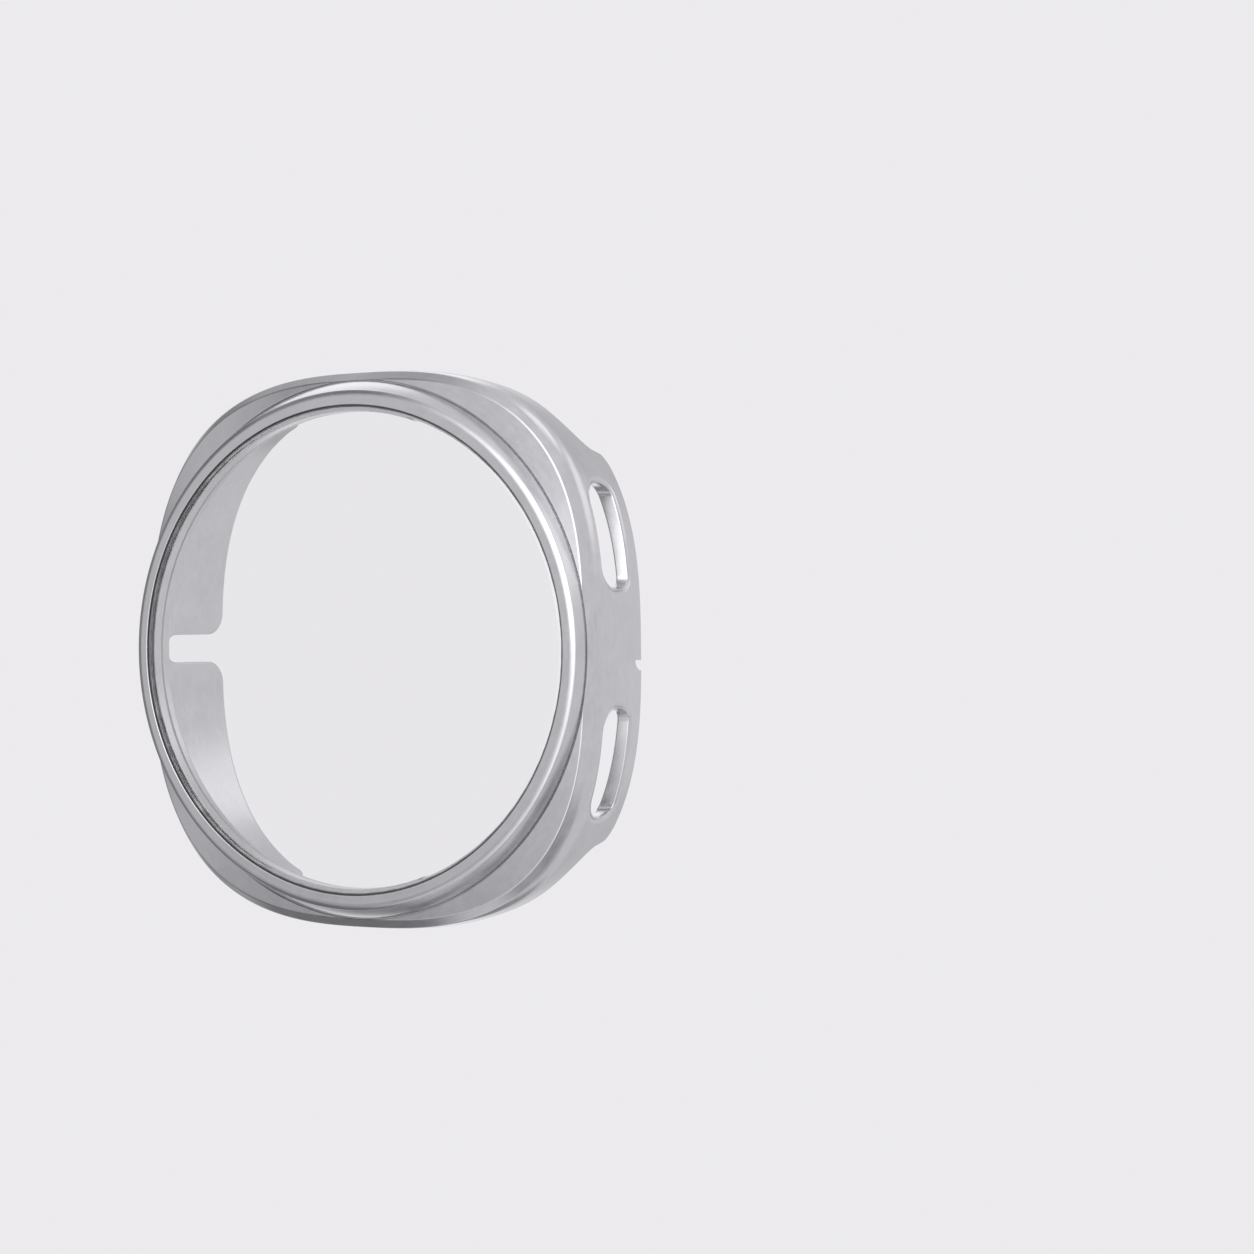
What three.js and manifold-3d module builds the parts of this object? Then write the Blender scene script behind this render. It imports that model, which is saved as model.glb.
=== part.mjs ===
// Clip-over protective cover for a round-dial watch with a cushion-shaped body.
// A moulded frame shell goes over the watch from the front, and its side walls draw in behind the body to
// hold on. The shell carries a raised bezel ring, bonded on a tongue, and the ring holds a clear lens on a
// bonded ledge.
//
// Millimetres. +X points to 3 o'clock, the button side, +Z to 12 o'clock and +Y back towards the wrist.
// The origin lies on the dial axis, in the plane where the shell's inner face seats on the watch body.
// Depths are measured back from the rim of the bezel ring, which is the front-most line of the cover.

import * as THREE from 'three';
import { mergeVertices } from 'three/addons/utils/BufferGeometryUtils.js';
import Module from 'manifold-3d';

// Bezel ring
const rimRadius = 21.2; // inner edge of the front band; the whole outline follows it
const bandWidth = 0.6; // flat part of the front band, before the shoulder's round
const bandFall = 0.063; // depth that the band loses over its width
const shoulderOverhang = 0.62; // the shoulder turns over this far outside the band
const shoulderDrop = 0.06; // and this far behind the band's edge
const flankStartShare = 0.18; // of the way from the turn to the foot, where the shoulder's flank has set in
const footSpreadAcross = 0.05; // the shoulder's foot stands out a little at 3 and 9 o'clock
const footSpreadAlong = 0.97; // and more at 12 and 6 o'clock
const ringDepth = 1.9; // rim to the ring's back face
const flangeWidth = 0.5; // the flange that carries the lens reaches in past the rim
const shoulderBulgeShare = 0.12; // how far the shoulder's flank bows out of a straight line
const shoulderSteps = 8;

// Lens and the adhesive under it
const lensThickness = 0.5;
const lensInset = 0.12; // front of the lens behind the rim
const lensGap = 0.08; // all round, between the lens and the rim
const lensBevelWidth = 0.3;
const lensBevelDepth = 0.16;
const lensBackChamfer = 0.08;
const lensBondThickness = 0.1;
const lensBondSetback = 0.06; // the film stays clear of the flange's edge

// Tongue and groove that locate the ring on the shell
const tongueSetback = 0.55; // from the rim out to the middle of the tongue
const tongueWidth = 0.4;
const tongueHeight = 0.35;
const grooveClearance = 0.1; // on each side of the tongue
const ringBondThickness = 0.2; // adhesive between the tongue and the groove's floor

// Frame shell: pocket for the watch body
const displayClearance = 0.05; // the bore for the watch's raised display is this much larger than the rim
const seatThickness = 1.6; // between the ring and the inner face, which seats on the watch body
const pocketMarginAcross = 0.75; // the pocket's half width past the rim's radius
const pocketMarginAlong = 1.9; // and its half height
const pocketPower = 2.8; // exponent of the pocket's superellipse
const pocketReach = 2.0; // the pocket keeps its width this far behind its seat, then draws in behind the body
const wallReach = 8.7; // seat to the rear rim of the side walls
const snapHoldAcross = 0.54; // how far the pocket has drawn in at the rear rim
const snapHoldAlong = 0.1;
const snapPower = 2.65;
const leadInWidth = 0.2; // opens the mouth for the watch
const leadInDepth = 0.45;

// Frame shell: outside of the side wall
const wallAcross = 0.9; // wall outside the pocket at 3 and 9 o'clock, on its widest line
const wallAlong = 1.26; // and at 12 and 6 o'clock
const bellyPower = 2.85;
const flareReach = 0.7; // the wall swells quickly over this depth behind the edge band
const bellyReach = 1.05; // and then slowly to its widest line
const flareShare = 0.72; // of that swelling, done at the flare's depth
const waistReach = 3.6; // behind the widest line
const waistShare = 0.27; // of the drawing in towards the rear, done at the waist's depth
const rearDrawAcross = 0.31; // how far the wall has drawn in at the rear rim
const rearDrawAlong = 0.56;
const rearPower = 2.8;
const rearChamfer = 0.12;

// Frame shell: the sloping edge band, inside the wall's widest line
const bandSetAcross = 0.31;
const bandSetAlong = 0.1;
const bandPower = 2.73;
const bandDrop = 0.56; // depth from the plate's edge to the edge band's outer edge
const leastEdgeBandWidth = 0.16; // where the ring's foot takes the plate's place

// Frame shell: the cushion plate, inside the edge band's outer edge
const plateSetAcross = 0.32;
const plateSetAlong = 0.78;
const platePower = 2.77;
const plateFall = 0.19; // the plate's edge lies this far behind the ring's seat
const plateLedge = 0.1; // least width of plate outside the ring's foot

// Button windows in the 3 o'clock wall
const windowLength = 10.2; // along Z
const windowCorner = 2.6;
const windowCentreHeight = 9.7; // above and below the dial axis
const windowFrontMargin = 1.0; // wall between the seat and the window
const windowRearMargin = 1.7; // wall between the window and the rear rim

// Flex notch in the 9 o'clock wall
const notchWidth = 2.55;
const notchHeight = 0.13; // its place along Z
const notchFrontMargin = 1.16; // wall between the seat and the notch's closed end
const notchCorner = 0.6; // the closed end's corners, along Z
const notchCornerReach = 1.1; // and along the depth
const notchMouthRound = 2.0;

// Microphone relief in the rear rim of the 3 o'clock wall: one straight side and one rounded side
const micStraightHeight = -1.08; // the straight side's place along Z
const micWidth = 0.9;
const micReach = 1.35; // along the depth

// Strap relief: the walls at 12 and 6 o'clock stop short between the tabs of the side walls
const leftTabWidth = 9.7; // from the pocket's widest line at 9 o'clock to the relief
const rightTabWidth = 2.9; // and from the widest line at 3 o'clock
const reliefMargin = 3.85; // seat to the low edge
const reliefFillet = 2.65;
const tabRound = 0.8; // rounds the tab's corner at the rear rim

// How finely the round forms are cut
const stations = 120;
const arcSteps = 8;
const cutOverrun = 3.0; // how far every cutter reaches past what it cuts

// Outlines worked out from the sizes above
const displayRadius = rimRadius + displayClearance;
const flangeRadius = rimRadius - flangeWidth;
const lensRadius = rimRadius - lensGap;
const bandEdgeRadius = rimRadius + bandWidth;
const turnRadius = bandEdgeRadius + shoulderOverhang;
const footHalfWidth = turnRadius + footSpreadAcross;
const footHalfHeight = turnRadius + footSpreadAlong;
const tongueInner = rimRadius + tongueSetback - tongueWidth / 2;
const tongueOuter = tongueInner + tongueWidth;
const grooveInner = tongueInner - grooveClearance;
const grooveOuter = tongueOuter + grooveClearance;
const pocketHalfWidth = rimRadius + pocketMarginAcross;
const pocketHalfHeight = rimRadius + pocketMarginAlong;
const snapHalfWidth = pocketHalfWidth - snapHoldAcross;
const snapHalfHeight = pocketHalfHeight - snapHoldAlong;
const bellyHalfWidth = pocketHalfWidth + wallAcross;
const bellyHalfHeight = pocketHalfHeight + wallAlong;
const rearHalfWidth = bellyHalfWidth - rearDrawAcross;
const rearHalfHeight = bellyHalfHeight - rearDrawAlong;
const bandHalfWidth = bellyHalfWidth - bandSetAcross;
const bandHalfHeight = bellyHalfHeight - bandSetAlong;
const plateHalfWidth = bandHalfWidth - plateSetAcross;
const plateHalfHeight = bandHalfHeight - plateSetAlong;
const reliefFrom = leftTabWidth - pocketHalfWidth;
const reliefTo = pocketHalfWidth - rightTabWidth;
const outerReach = bellyHalfHeight + cutOverrun;

// Depths worked out from the sizes above
const ledgeDepth = lensInset + lensThickness + lensBondThickness;
const grooveDepth = tongueHeight + ringBondThickness;
const plateEdgeDepth = ringDepth + plateFall;
const bandDepth = plateEdgeDepth + bandDrop;
const flareDepth = bandDepth + flareReach;
const bellyDepth = flareDepth + bellyReach;
const waistDepth = bellyDepth + waistReach;
const seatDepth = ringDepth + seatThickness;
const pocketDepth = seatDepth + pocketReach;
const coverDepth = seatDepth + wallReach;
const windowFrontDepth = seatDepth + windowFrontMargin;
const windowRearDepth = coverDepth - windowRearMargin;
const windowDepth = windowRearDepth - windowFrontDepth;
const notchEndDepth = seatDepth + notchFrontMargin;
const reliefEdgeDepth = seatDepth + reliefMargin;
const reliefRound = Math.min(reliefFillet, coverDepth - tabRound - reliefEdgeDepth);

/** Radius of a superellipse, the cushion outline, at an angle from 3 o'clock. */
function cushionRadius(angle, halfWidth, halfHeight, power) {
  const across = Math.abs(Math.cos(angle) / halfWidth) ** power;
  const along = Math.abs(Math.sin(angle) / halfHeight) ** power;
  return (across + along) ** (-1 / power);
}

/** A section point: distance from the dial axis, and depth behind the rim. */
const at = (radius, depth) => new THREE.Vector2(radius, depth);

/** Closed ring through the section at each station, with the same number of points at all of them. */
function ringLoft(section) {
  const positions = [];
  const triangles = [];
  for (let station = 0; station < stations; station += 1) {
    const angle = (2 * Math.PI * station) / stations;
    for (const point of section(angle)) {
      positions.push(point.x * Math.cos(angle), point.y, point.x * Math.sin(angle));
    }
  }
  const count = positions.length / 3 / stations;
  for (let station = 0; station < stations; station += 1) {
    const here = station * count;
    const there = ((station + 1) % stations) * count;
    for (let point = 0; point < count; point += 1) {
      const next = (point + 1) % count;
      triangles.push(here + point, there + next, there + point);
      triangles.push(here + point, here + next, there + next);
    }
  }
  const geometry = new THREE.BufferGeometry();
  geometry.setAttribute('position', new THREE.Float32BufferAttribute(positions, 3));
  geometry.setIndex(triangles);
  return geometry;
}

/** Bezel ring: front band, shoulder, back face with its groove, flange and lens ledge. */
function ringSection(angle) {
  const bandEdge = at(bandEdgeRadius, bandFall);
  const turn = at(turnRadius, bandFall + shoulderDrop);
  const foot = at(cushionRadius(angle, footHalfWidth, footHalfHeight, 2), ringDepth);
  const flank = turn.clone().lerp(foot, flankStartShare);
  flank.x += (foot.x - turn.x) * shoulderBulgeShare;
  const shoulder = new THREE.CubicBezierCurve(bandEdge, turn, flank, foot).getPoints(shoulderSteps);
  return [
    at(rimRadius, 0),
    ...shoulder,
    at(grooveOuter, ringDepth),
    at(grooveOuter, ringDepth - grooveDepth),
    at(grooveInner, ringDepth - grooveDepth),
    at(grooveInner, ringDepth),
    at(flangeRadius, ringDepth),
    at(flangeRadius, ledgeDepth),
    at(rimRadius, ledgeDepth),
  ];
}

/** Frame shell: ring seat with its tongue, plate, edge band, side wall, snap rim, pocket and inner face. */
function shellSection(angle) {
  const foot = cushionRadius(angle, footHalfWidth, footHalfHeight, 2);
  const plateOutline = cushionRadius(angle, plateHalfWidth, plateHalfHeight, platePower);
  const bandOutline = cushionRadius(angle, bandHalfWidth, bandHalfHeight, bandPower);
  const plateEdge = Math.max(plateOutline, foot + plateLedge);
  const bandEdge = Math.max(bandOutline, plateEdge + leastEdgeBandWidth);
  const belly = cushionRadius(angle, bellyHalfWidth, bellyHalfHeight, bellyPower);
  const rear = cushionRadius(angle, rearHalfWidth, rearHalfHeight, rearPower);
  const pocket = cushionRadius(angle, pocketHalfWidth, pocketHalfHeight, pocketPower);
  const snap = cushionRadius(angle, snapHalfWidth, snapHalfHeight, snapPower);
  return [
    at(displayRadius, ringDepth),
    at(tongueInner, ringDepth),
    at(tongueInner, ringDepth - tongueHeight),
    at(tongueOuter, ringDepth - tongueHeight),
    at(tongueOuter, ringDepth),
    at(foot, ringDepth),
    at(plateEdge, plateEdgeDepth),
    at(bandEdge, bandDepth),
    at(bandEdge + (belly - bandEdge) * flareShare, flareDepth),
    at(belly, bellyDepth),
    at(belly + (rear - belly) * waistShare, waistDepth),
    at(rear, coverDepth - rearChamfer),
    at(rear - rearChamfer, coverDepth),
    at(snap + leadInWidth, coverDepth),
    at(snap, coverDepth - leadInDepth),
    at(pocket, pocketDepth),
    at(pocket, seatDepth),
    at(displayRadius, seatDepth),
  ];
}

/** Rounded rectangle about a point, as a closed outline. */
function roundedRectangle(centreX, centreY, width, height, corner) {
  const left = centreX - width / 2;
  const bottom = centreY - height / 2;
  const shape = new THREE.Shape();
  shape.absarc(left + width - corner, bottom + height - corner, corner, 0, Math.PI / 2);
  shape.absarc(left + corner, bottom + height - corner, corner, Math.PI / 2, Math.PI);
  shape.absarc(left + corner, bottom + corner, corner, Math.PI, 1.5 * Math.PI);
  shape.absarc(left + width - corner, bottom + corner, corner, 1.5 * Math.PI, 2 * Math.PI);
  return shape;
}

/** U-shaped flex notch that opens at the rear rim, drawn in height across and depth up. */
function notchOutline() {
  const left = notchHeight - notchWidth / 2;
  const right = notchHeight + notchWidth / 2;
  const rear = coverDepth;
  const mouth = notchMouthRound;
  const shape = new THREE.Shape();
  const corner = [notchEndDepth + notchCornerReach, notchCorner, notchCornerReach];
  shape.absellipse(right - notchCorner, ...corner, 1.5 * Math.PI, 2 * Math.PI);
  shape.absarc(right + mouth, rear - mouth, mouth, Math.PI, Math.PI / 2, true);
  shape.lineTo(right + mouth, rear + cutOverrun);
  shape.lineTo(left - mouth, rear + cutOverrun);
  shape.absarc(left - mouth, rear - mouth, mouth, Math.PI / 2, 0, true);
  shape.absellipse(left + notchCorner, ...corner, Math.PI, 1.5 * Math.PI);
  return shape;
}

/** Microphone relief, drawn in height across and depth up: a quarter of an ellipse beside a straight side. */
function microphoneOutline() {
  const shape = new THREE.Shape();
  shape.moveTo(micStraightHeight, coverDepth + cutOverrun);
  shape.lineTo(micStraightHeight - micWidth, coverDepth + cutOverrun);
  shape.absellipse(micStraightHeight, coverDepth, micWidth, micReach, Math.PI, 1.5 * Math.PI);
  return shape;
}

/** Strap relief in side place across and depth up: the tabs' rounded corners, then a fillet to the low edge. */
function reliefOutline() {
  const rear = coverDepth;
  const filletTop = reliefEdgeDepth + reliefRound;
  const shape = new THREE.Shape();
  shape.absarc(reliefTo - reliefRound, filletTop, reliefRound, 1.5 * Math.PI, 2 * Math.PI);
  shape.absarc(reliefTo + tabRound, rear - tabRound, tabRound, Math.PI, Math.PI / 2, true);
  shape.lineTo(reliefTo + tabRound, rear + cutOverrun);
  shape.lineTo(reliefFrom - tabRound, rear + cutOverrun);
  shape.absarc(reliefFrom - tabRound, rear - tabRound, tabRound, Math.PI / 2, 0, true);
  shape.absarc(reliefFrom + reliefRound, filletTop, reliefRound, Math.PI, 1.5 * Math.PI);
  return shape;
}

/** Prism of an outline drawn in (height, depth), from the dial axis out to 3 o'clock, or to 9 o'clock. */
function sideCutter(outline, toNine) {
  const prism = new THREE.ExtrudeGeometry(outline, {
    depth: outerReach,
    bevelEnabled: false,
    curveSegments: arcSteps,
  });
  const turned = new THREE.Matrix4().makeBasis(
    new THREE.Vector3(0, 0, 1),
    new THREE.Vector3(0, 1, 0),
    new THREE.Vector3(-1, 0, 0),
  );
  prism.applyMatrix4(turned);
  return toNine ? prism : prism.translate(outerReach, 0, 0);
}

/** Prism of an outline drawn in (side place, depth), right through the cover from 6 to 12 o'clock. */
function throughCutter(outline) {
  const prism = new THREE.ExtrudeGeometry(outline, {
    depth: 2 * outerReach,
    bevelEnabled: false,
    curveSegments: arcSteps,
  });
  return prism.translate(0, 0, -outerReach);
}

const wasm = await Module();
wasm.setup();

/** A three.js geometry as a solid for cutting. */
function solid(geometry) {
  const bare = geometry.clone();
  bare.deleteAttribute('normal');
  bare.deleteAttribute('uv');
  const merged = mergeVertices(bare);
  return new wasm.Manifold(
    new wasm.Mesh({
      numProp: 3,
      vertProperties: Float32Array.from(merged.attributes.position.array),
      triVerts: Uint32Array.from(merged.index.array),
    }),
  );
}

/** A cut solid back as a three.js geometry. */
function geometryOf(cut) {
  const mesh = cut.getMesh();
  const geometry = new THREE.BufferGeometry();
  geometry.setAttribute('position', new THREE.BufferAttribute(mesh.vertProperties, mesh.numProp));
  geometry.setIndex(new THREE.BufferAttribute(mesh.triVerts, 1));
  return geometry;
}

/** The lofted shell less its strap reliefs, button windows, flex notch and microphone relief. */
function shellGeometry() {
  const windowMiddle = (windowFrontDepth + windowRearDepth) / 2;
  const corner = Math.min(windowCorner, windowDepth / 2);
  const buttonWindow = (height) => roundedRectangle(height, windowMiddle, windowLength, windowDepth, corner);
  const cutters = [
    throughCutter(reliefOutline()),
    sideCutter(buttonWindow(windowCentreHeight), false),
    sideCutter(buttonWindow(-windowCentreHeight), false),
    sideCutter(microphoneOutline(), false),
    sideCutter(notchOutline(), true),
  ];
  const whole = solid(ringLoft(shellSection));
  return geometryOf(cutters.reduce((left, cutter) => left.subtract(solid(cutter)), whole));
}

/** Clear lens, turned about the dial axis, with its back face in the plane of its own origin. */
function lensGeometry() {
  const profile = [
    at(0, -lensThickness),
    at(lensRadius - lensBevelWidth, -lensThickness),
    at(lensRadius, lensBevelDepth - lensThickness),
    at(lensRadius, -lensBackChamfer),
    at(lensRadius - lensBackChamfer, 0),
    at(0, 0),
  ];
  return new THREE.LatheGeometry(profile, stations);
}

/** Flat ring of adhesive, turned about the dial axis, from its own origin's plane forwards. */
function bondGeometry(inner, outer, thickness) {
  const profile = [at(inner, 0), at(inner, -thickness), at(outer, -thickness), at(outer, 0), at(inner, 0)];
  return new THREE.LatheGeometry(profile, stations);
}

/** A named mesh with its own material, its origin at a depth behind the rim. */
function piece(name, geometry, finish, depth = 0) {
  geometry.computeVertexNormals();
  const mesh = new THREE.Mesh(geometry, new THREE.MeshStandardMaterial(finish));
  mesh.name = name;
  mesh.position.y = depth;
  return mesh;
}

const platedSilver = { color: 0xb4b6ba, roughness: 0.34, metalness: 0.85 };
const clearGlass = { color: 0xeef1f2, roughness: 0.03, metalness: 0, transparent: true, opacity: 0.2 };
const adhesive = { color: 0x6f7276, roughness: 0.5, metalness: 0 };

const lensBond = bondGeometry(
  flangeRadius + lensBondSetback,
  lensRadius - lensBackChamfer,
  lensBondThickness,
);
const ringBond = bondGeometry(grooveInner, grooveOuter, ringBondThickness);

const cover = new THREE.Group();
cover.position.y = -seatDepth;
cover.add(
  piece('frame_shell', shellGeometry(), platedSilver),
  piece('bezel_ring', ringLoft(ringSection), platedSilver),
  piece('lens', lensGeometry(), clearGlass, lensInset + lensThickness),
  piece('lens_bond', lensBond, adhesive, ledgeDepth),
  piece('ring_bond', ringBond, adhesive, ringDepth - tongueHeight),
);

const part = new THREE.Group();
part.add(cover);
export default part;
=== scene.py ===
"""Clip-over protective cover for a cushion-shaped watch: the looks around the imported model.

The frame shell is a fine mesh of the moulding, with small rounds on every edge. The bezel ring, the lens and
the adhesive round it are rings swept round the dial axis by one Geometry Nodes tree. Lengths are in
millimetres here and become metres where a mesh is made. Depths are measured back from the bezel ring's rim.
"""

from __future__ import annotations

import logging
import math
from dataclasses import dataclass, field
from enum import Enum
from typing import Callable, Iterable, Sequence

import bmesh
import bpy
import numpy as np
from mathutils import Matrix, Vector
from mathutils.geometry import delaunay_2d_cdt

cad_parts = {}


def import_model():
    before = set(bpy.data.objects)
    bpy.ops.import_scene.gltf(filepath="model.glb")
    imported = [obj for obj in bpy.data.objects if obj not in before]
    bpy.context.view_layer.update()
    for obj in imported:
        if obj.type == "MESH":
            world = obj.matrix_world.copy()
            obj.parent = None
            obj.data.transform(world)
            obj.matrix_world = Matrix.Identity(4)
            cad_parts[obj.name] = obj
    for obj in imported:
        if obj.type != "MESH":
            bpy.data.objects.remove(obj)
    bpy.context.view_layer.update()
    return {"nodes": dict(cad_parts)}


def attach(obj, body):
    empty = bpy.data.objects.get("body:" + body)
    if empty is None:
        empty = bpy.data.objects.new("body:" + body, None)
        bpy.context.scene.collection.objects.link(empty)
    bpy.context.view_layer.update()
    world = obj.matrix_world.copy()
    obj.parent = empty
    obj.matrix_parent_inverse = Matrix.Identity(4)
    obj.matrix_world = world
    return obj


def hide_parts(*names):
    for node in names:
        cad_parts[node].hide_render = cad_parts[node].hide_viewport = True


MM = 0.001
LOG = logging.getLogger("cover")

Points = np.ndarray
Pair = tuple[float, float]
Color = tuple[float, float, float]
Socket = bpy.types.NodeSocket
Given = dict[str | int, object]


class Slot(Enum):
    """The record's material slots."""

    FRAME = "frame"
    BEZEL = "bezel"
    LENS = "lens"
    ADHESIVE = "adhesive"


class Side(Enum):
    """The two faces of the shell's wall."""

    OUTER = 1
    INNER = -1


# One turn round the wall, from 6 o'clock over 3, 12 and 9 o'clock
TURN_START = -math.pi / 2
TURN_END = 1.5 * math.pi
TURN_STATIONS = 2881


class CutPlane(Enum):
    """What a point on a cut edge is placed by: its angle, or its height or side place on one side.

    All but the first name the function of the angle that gives the place, then the angles at which the place
    is least and most.
    """

    ANGLE = None
    THREE = (np.sin, TURN_START, math.pi / 2)
    NINE = (np.sin, TURN_END, math.pi / 2)
    TWELVE = (np.cos, math.pi, 0.0)
    SIX_RIGHT = (np.cos, TURN_START, 0.0)
    SIX_LEFT = (np.cos, math.pi, TURN_END)


# Halvings that find the angle of a place
HALVINGS = 48

# Profiles of the cut edges, from the cut outwards: shares of the reach along the face and of the drop
WINDOW_RIM = (
    (0.0, 1.3),
    (0.05, 0.95),
    (0.14, 0.78),
    (0.22, 0.84),
    (0.32, 1.7),
    (0.4, 1.7),
    (0.5, 0.62),
    (0.62, 0.5),
    (0.8, 0.26),
    (0.92, 0.06),
    (1.0, 0.0),
)
INNER_BEVEL = ((0.0, 1.0), (0.06, 0.86), (0.2, 0.72), (0.8, 0.12), (0.94, 0.02), (1.0, 0.0))
OUTER_ROUND = tuple((1 - math.sin(phi), 1 - math.cos(phi)) for phi in np.linspace(math.pi / 2, 0.0, 7))

# A last ring past each profile, which keeps smooth shading flat beside it
SUPPORT_RING = (1.35, 0.0)

# Shares of the way through the wall at which the cut's flat face gets a row
CUT_ROWS = (0.05, 0.95)

# Ranges that hold most of the values of noise, for coarse and for fine patterns
NOISE_SPAN = (0.3, 0.7)
FINE_SPAN = (0.35, 0.65)


# Small geometry helpers


@dataclass(frozen=True)
class Cushion:
    """A superellipse about the dial axis, the outline of cushion-shaped watches."""

    half_width: float
    half_height: float
    power: float = 2.0

    def radius(self, angle: Points) -> Points:
        """Distance of the outline from the dial axis at angles measured from 3 o'clock."""
        across = np.abs(np.cos(angle) / self.half_width) ** self.power
        along = np.abs(np.sin(angle) / self.half_height) ** self.power
        return (across + along) ** (-1.0 / self.power)


def link(name: str, data: bpy.types.ID) -> bpy.types.Object:
    """Makes an object and links it to the scene."""
    made = bpy.data.objects.new(name, data)
    bpy.context.scene.collection.objects.link(made)
    return made


def finish_mesh(piece: bpy.types.Object, weld: float = 0.0) -> None:
    """Welds a closed piece where asked and points its faces out.

    Args:
        piece: The mesh object.
        weld: Vertices closer than this, in millimetres, become one.
    """
    shape = bmesh.new()
    shape.from_mesh(piece.data)
    if weld > 0:
        bmesh.ops.remove_doubles(shape, verts=shape.verts, dist=weld * MM)
    bmesh.ops.recalc_face_normals(shape, faces=shape.faces)
    if shape.calc_volume(signed=True) < 0:
        bmesh.ops.reverse_faces(shape, faces=shape.faces)
    open_edges = sum(1 for edge in shape.edges if not edge.is_manifold)
    LOG.info("%s: %d faces, %d open edges", piece.name, len(shape.faces), open_edges)
    shape.to_mesh(piece.data)
    shape.free()


@dataclass
class MeshDraft:
    """Vertices and faces of a mesh in the making, in millimetres."""

    blocks: list[Points] = field(default_factory=list)
    starts: list[int] = field(default_factory=list)
    faces: list[tuple[int, ...]] = field(default_factory=list)
    count: int = 0
    weld: float = 2e-5

    def add(self, points: Points) -> int:
        """Adds vertices and returns the index of the first one."""
        first = self.count
        self.blocks.append(points)
        self.starts.append(first)
        self.count += len(points)
        return first

    def strip(self, first: int, second: int, length: int, closed: bool) -> None:
        """Joins two equally long rows of vertices with quads.

        Args:
            first: Index of the first row's first vertex.
            second: Index of the second row's first vertex.
            length: Vertices in each row.
            closed: Whether the rows run round and meet their own start.
        """
        for here in range(length if closed else length - 1):
            there = (here + 1) % length
            self.faces.append((first + here, first + there, second + there, second + here))

    def sheet(self, rows: Iterable[Points], closed: bool) -> int:
        """Adds rows of vertices, joins each to the one before, and returns the first row's index."""
        firsts: list[int] = []
        for row in rows:
            firsts.append(self.add(row))
            if len(firsts) > 1:
                self.strip(firsts[-2], firsts[-1], len(row), closed)
        return firsts[0]

    def bridge(self, first: int, second: int, closed: bool) -> None:
        """Joins two rows that are there, over rows in between."""
        start = self.blocks[self.starts.index(first)]
        end = self.blocks[self.starts.index(second)]
        previous = first
        for share in CUT_ROWS:
            here = self.add(start + (end - start) * share)
            self.strip(previous, here, len(start), closed)
            previous = here
        self.strip(previous, second, len(start), closed)

    def to_object(self, name: str) -> bpy.types.Object:
        """Makes the welded mesh object, in metres, with its faces pointing out."""
        mesh = bpy.data.meshes.new(name)
        mesh.from_pydata((np.concatenate(self.blocks) * MM).tolist(), [], self.faces)
        made = link(name, mesh)
        finish_mesh(made, self.weld)
        mesh.shade_smooth()
        return made


def columns(*values: Points | float) -> Points:
    """Puts values side by side, one row for each place. A plain number counts for every row."""
    return np.stack(np.broadcast_arrays(*values), 1)


def turned(radius: Points, depth: Points, angle: Points) -> Points:
    """Points at a distance from the dial axis, as (x, depth, z) rows."""
    return columns(radius * np.cos(angle), depth, radius * np.sin(angle))


def tangents(rows: Points, closed: bool) -> Points:
    """Unit tangents along a row of points."""
    if closed:
        along = np.roll(rows, -1, axis=0) - np.roll(rows, 1, axis=0)
    else:
        along = np.gradient(rows, axis=0)
    return along / np.linalg.norm(along, axis=1, keepdims=True)


def shares(count: int) -> Points:
    """Even shares of the way, from the first step to the end."""
    return np.linspace(0.0, 1.0, count + 1)[1:]


def rounded_section(
    corners: Sequence[Points],
    rounds: Sequence[float | Points],
    steps: int = 6,
    support: float = 0.35,
    widest_step: float = 0.55,
    longest_reach: float = 0.45,
) -> list[Points]:
    """Rounds the corners of a section that changes from station to station.

    Each corner is an array of (radius, depth) rows, one for each station. Straight stretches get a support
    point beside each round, so that smooth shading stays flat between them.

    Args:
        corners: The section's corners in order, open at its two ends.
        rounds: The length that each corner's round takes off the straight stretches.
        steps: Pieces in each round.
        support: How far the support points lie from the round, as a share of that length.
        widest_step: Longest piece of a straight stretch.
        longest_reach: Largest share of a straight stretch that one round may take.

    Returns:
        The section's points in order, each an array of rows like the corners.
    """
    path = [corners[0]]
    for index in range(1, len(corners)):
        corner = corners[index]
        before = corner - corners[index - 1]
        before_length = np.linalg.norm(before, axis=1, keepdims=True)
        last = index == len(corners) - 1
        if last or np.max(rounds[index]) <= 0:
            target = [corner]
        else:
            after = corners[index + 1] - corner
            after_length = np.linalg.norm(after, axis=1, keepdims=True)
            reach = np.minimum(rounds[index], longest_reach * np.minimum(before_length, after_length))
            start = corner - before / before_length * reach
            end = corner + after / after_length * reach
            lead_in = start - before / before_length * reach * support
            lead_out = end + after / after_length * reach * support
            share = np.linspace(0.0, 1.0, steps + 1)
            turn = [(1 - s) ** 2 * start + 2 * s * (1 - s) * corner + s**2 * end for s in share]
            target = [lead_in, *turn, lead_out]
        gap = float(np.linalg.norm(target[0] - path[-1], axis=1).max())
        pieces = max(1, math.ceil(gap / widest_step))
        origin = path[-1]
        path.extend(origin + (target[0] - origin) * (piece / pieces) for piece in range(1, pieces))
        path.extend(target)
    return path


def rounded_outline(corners: Sequence[Pair], rounds: Sequence[float], steps: int) -> list[Pair]:
    """Rounds the corners of a section that is the same all round."""
    rows = rounded_section([np.array([corner]) for corner in corners], rounds, steps)
    return [tuple(row[0]) for row in rows]


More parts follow.
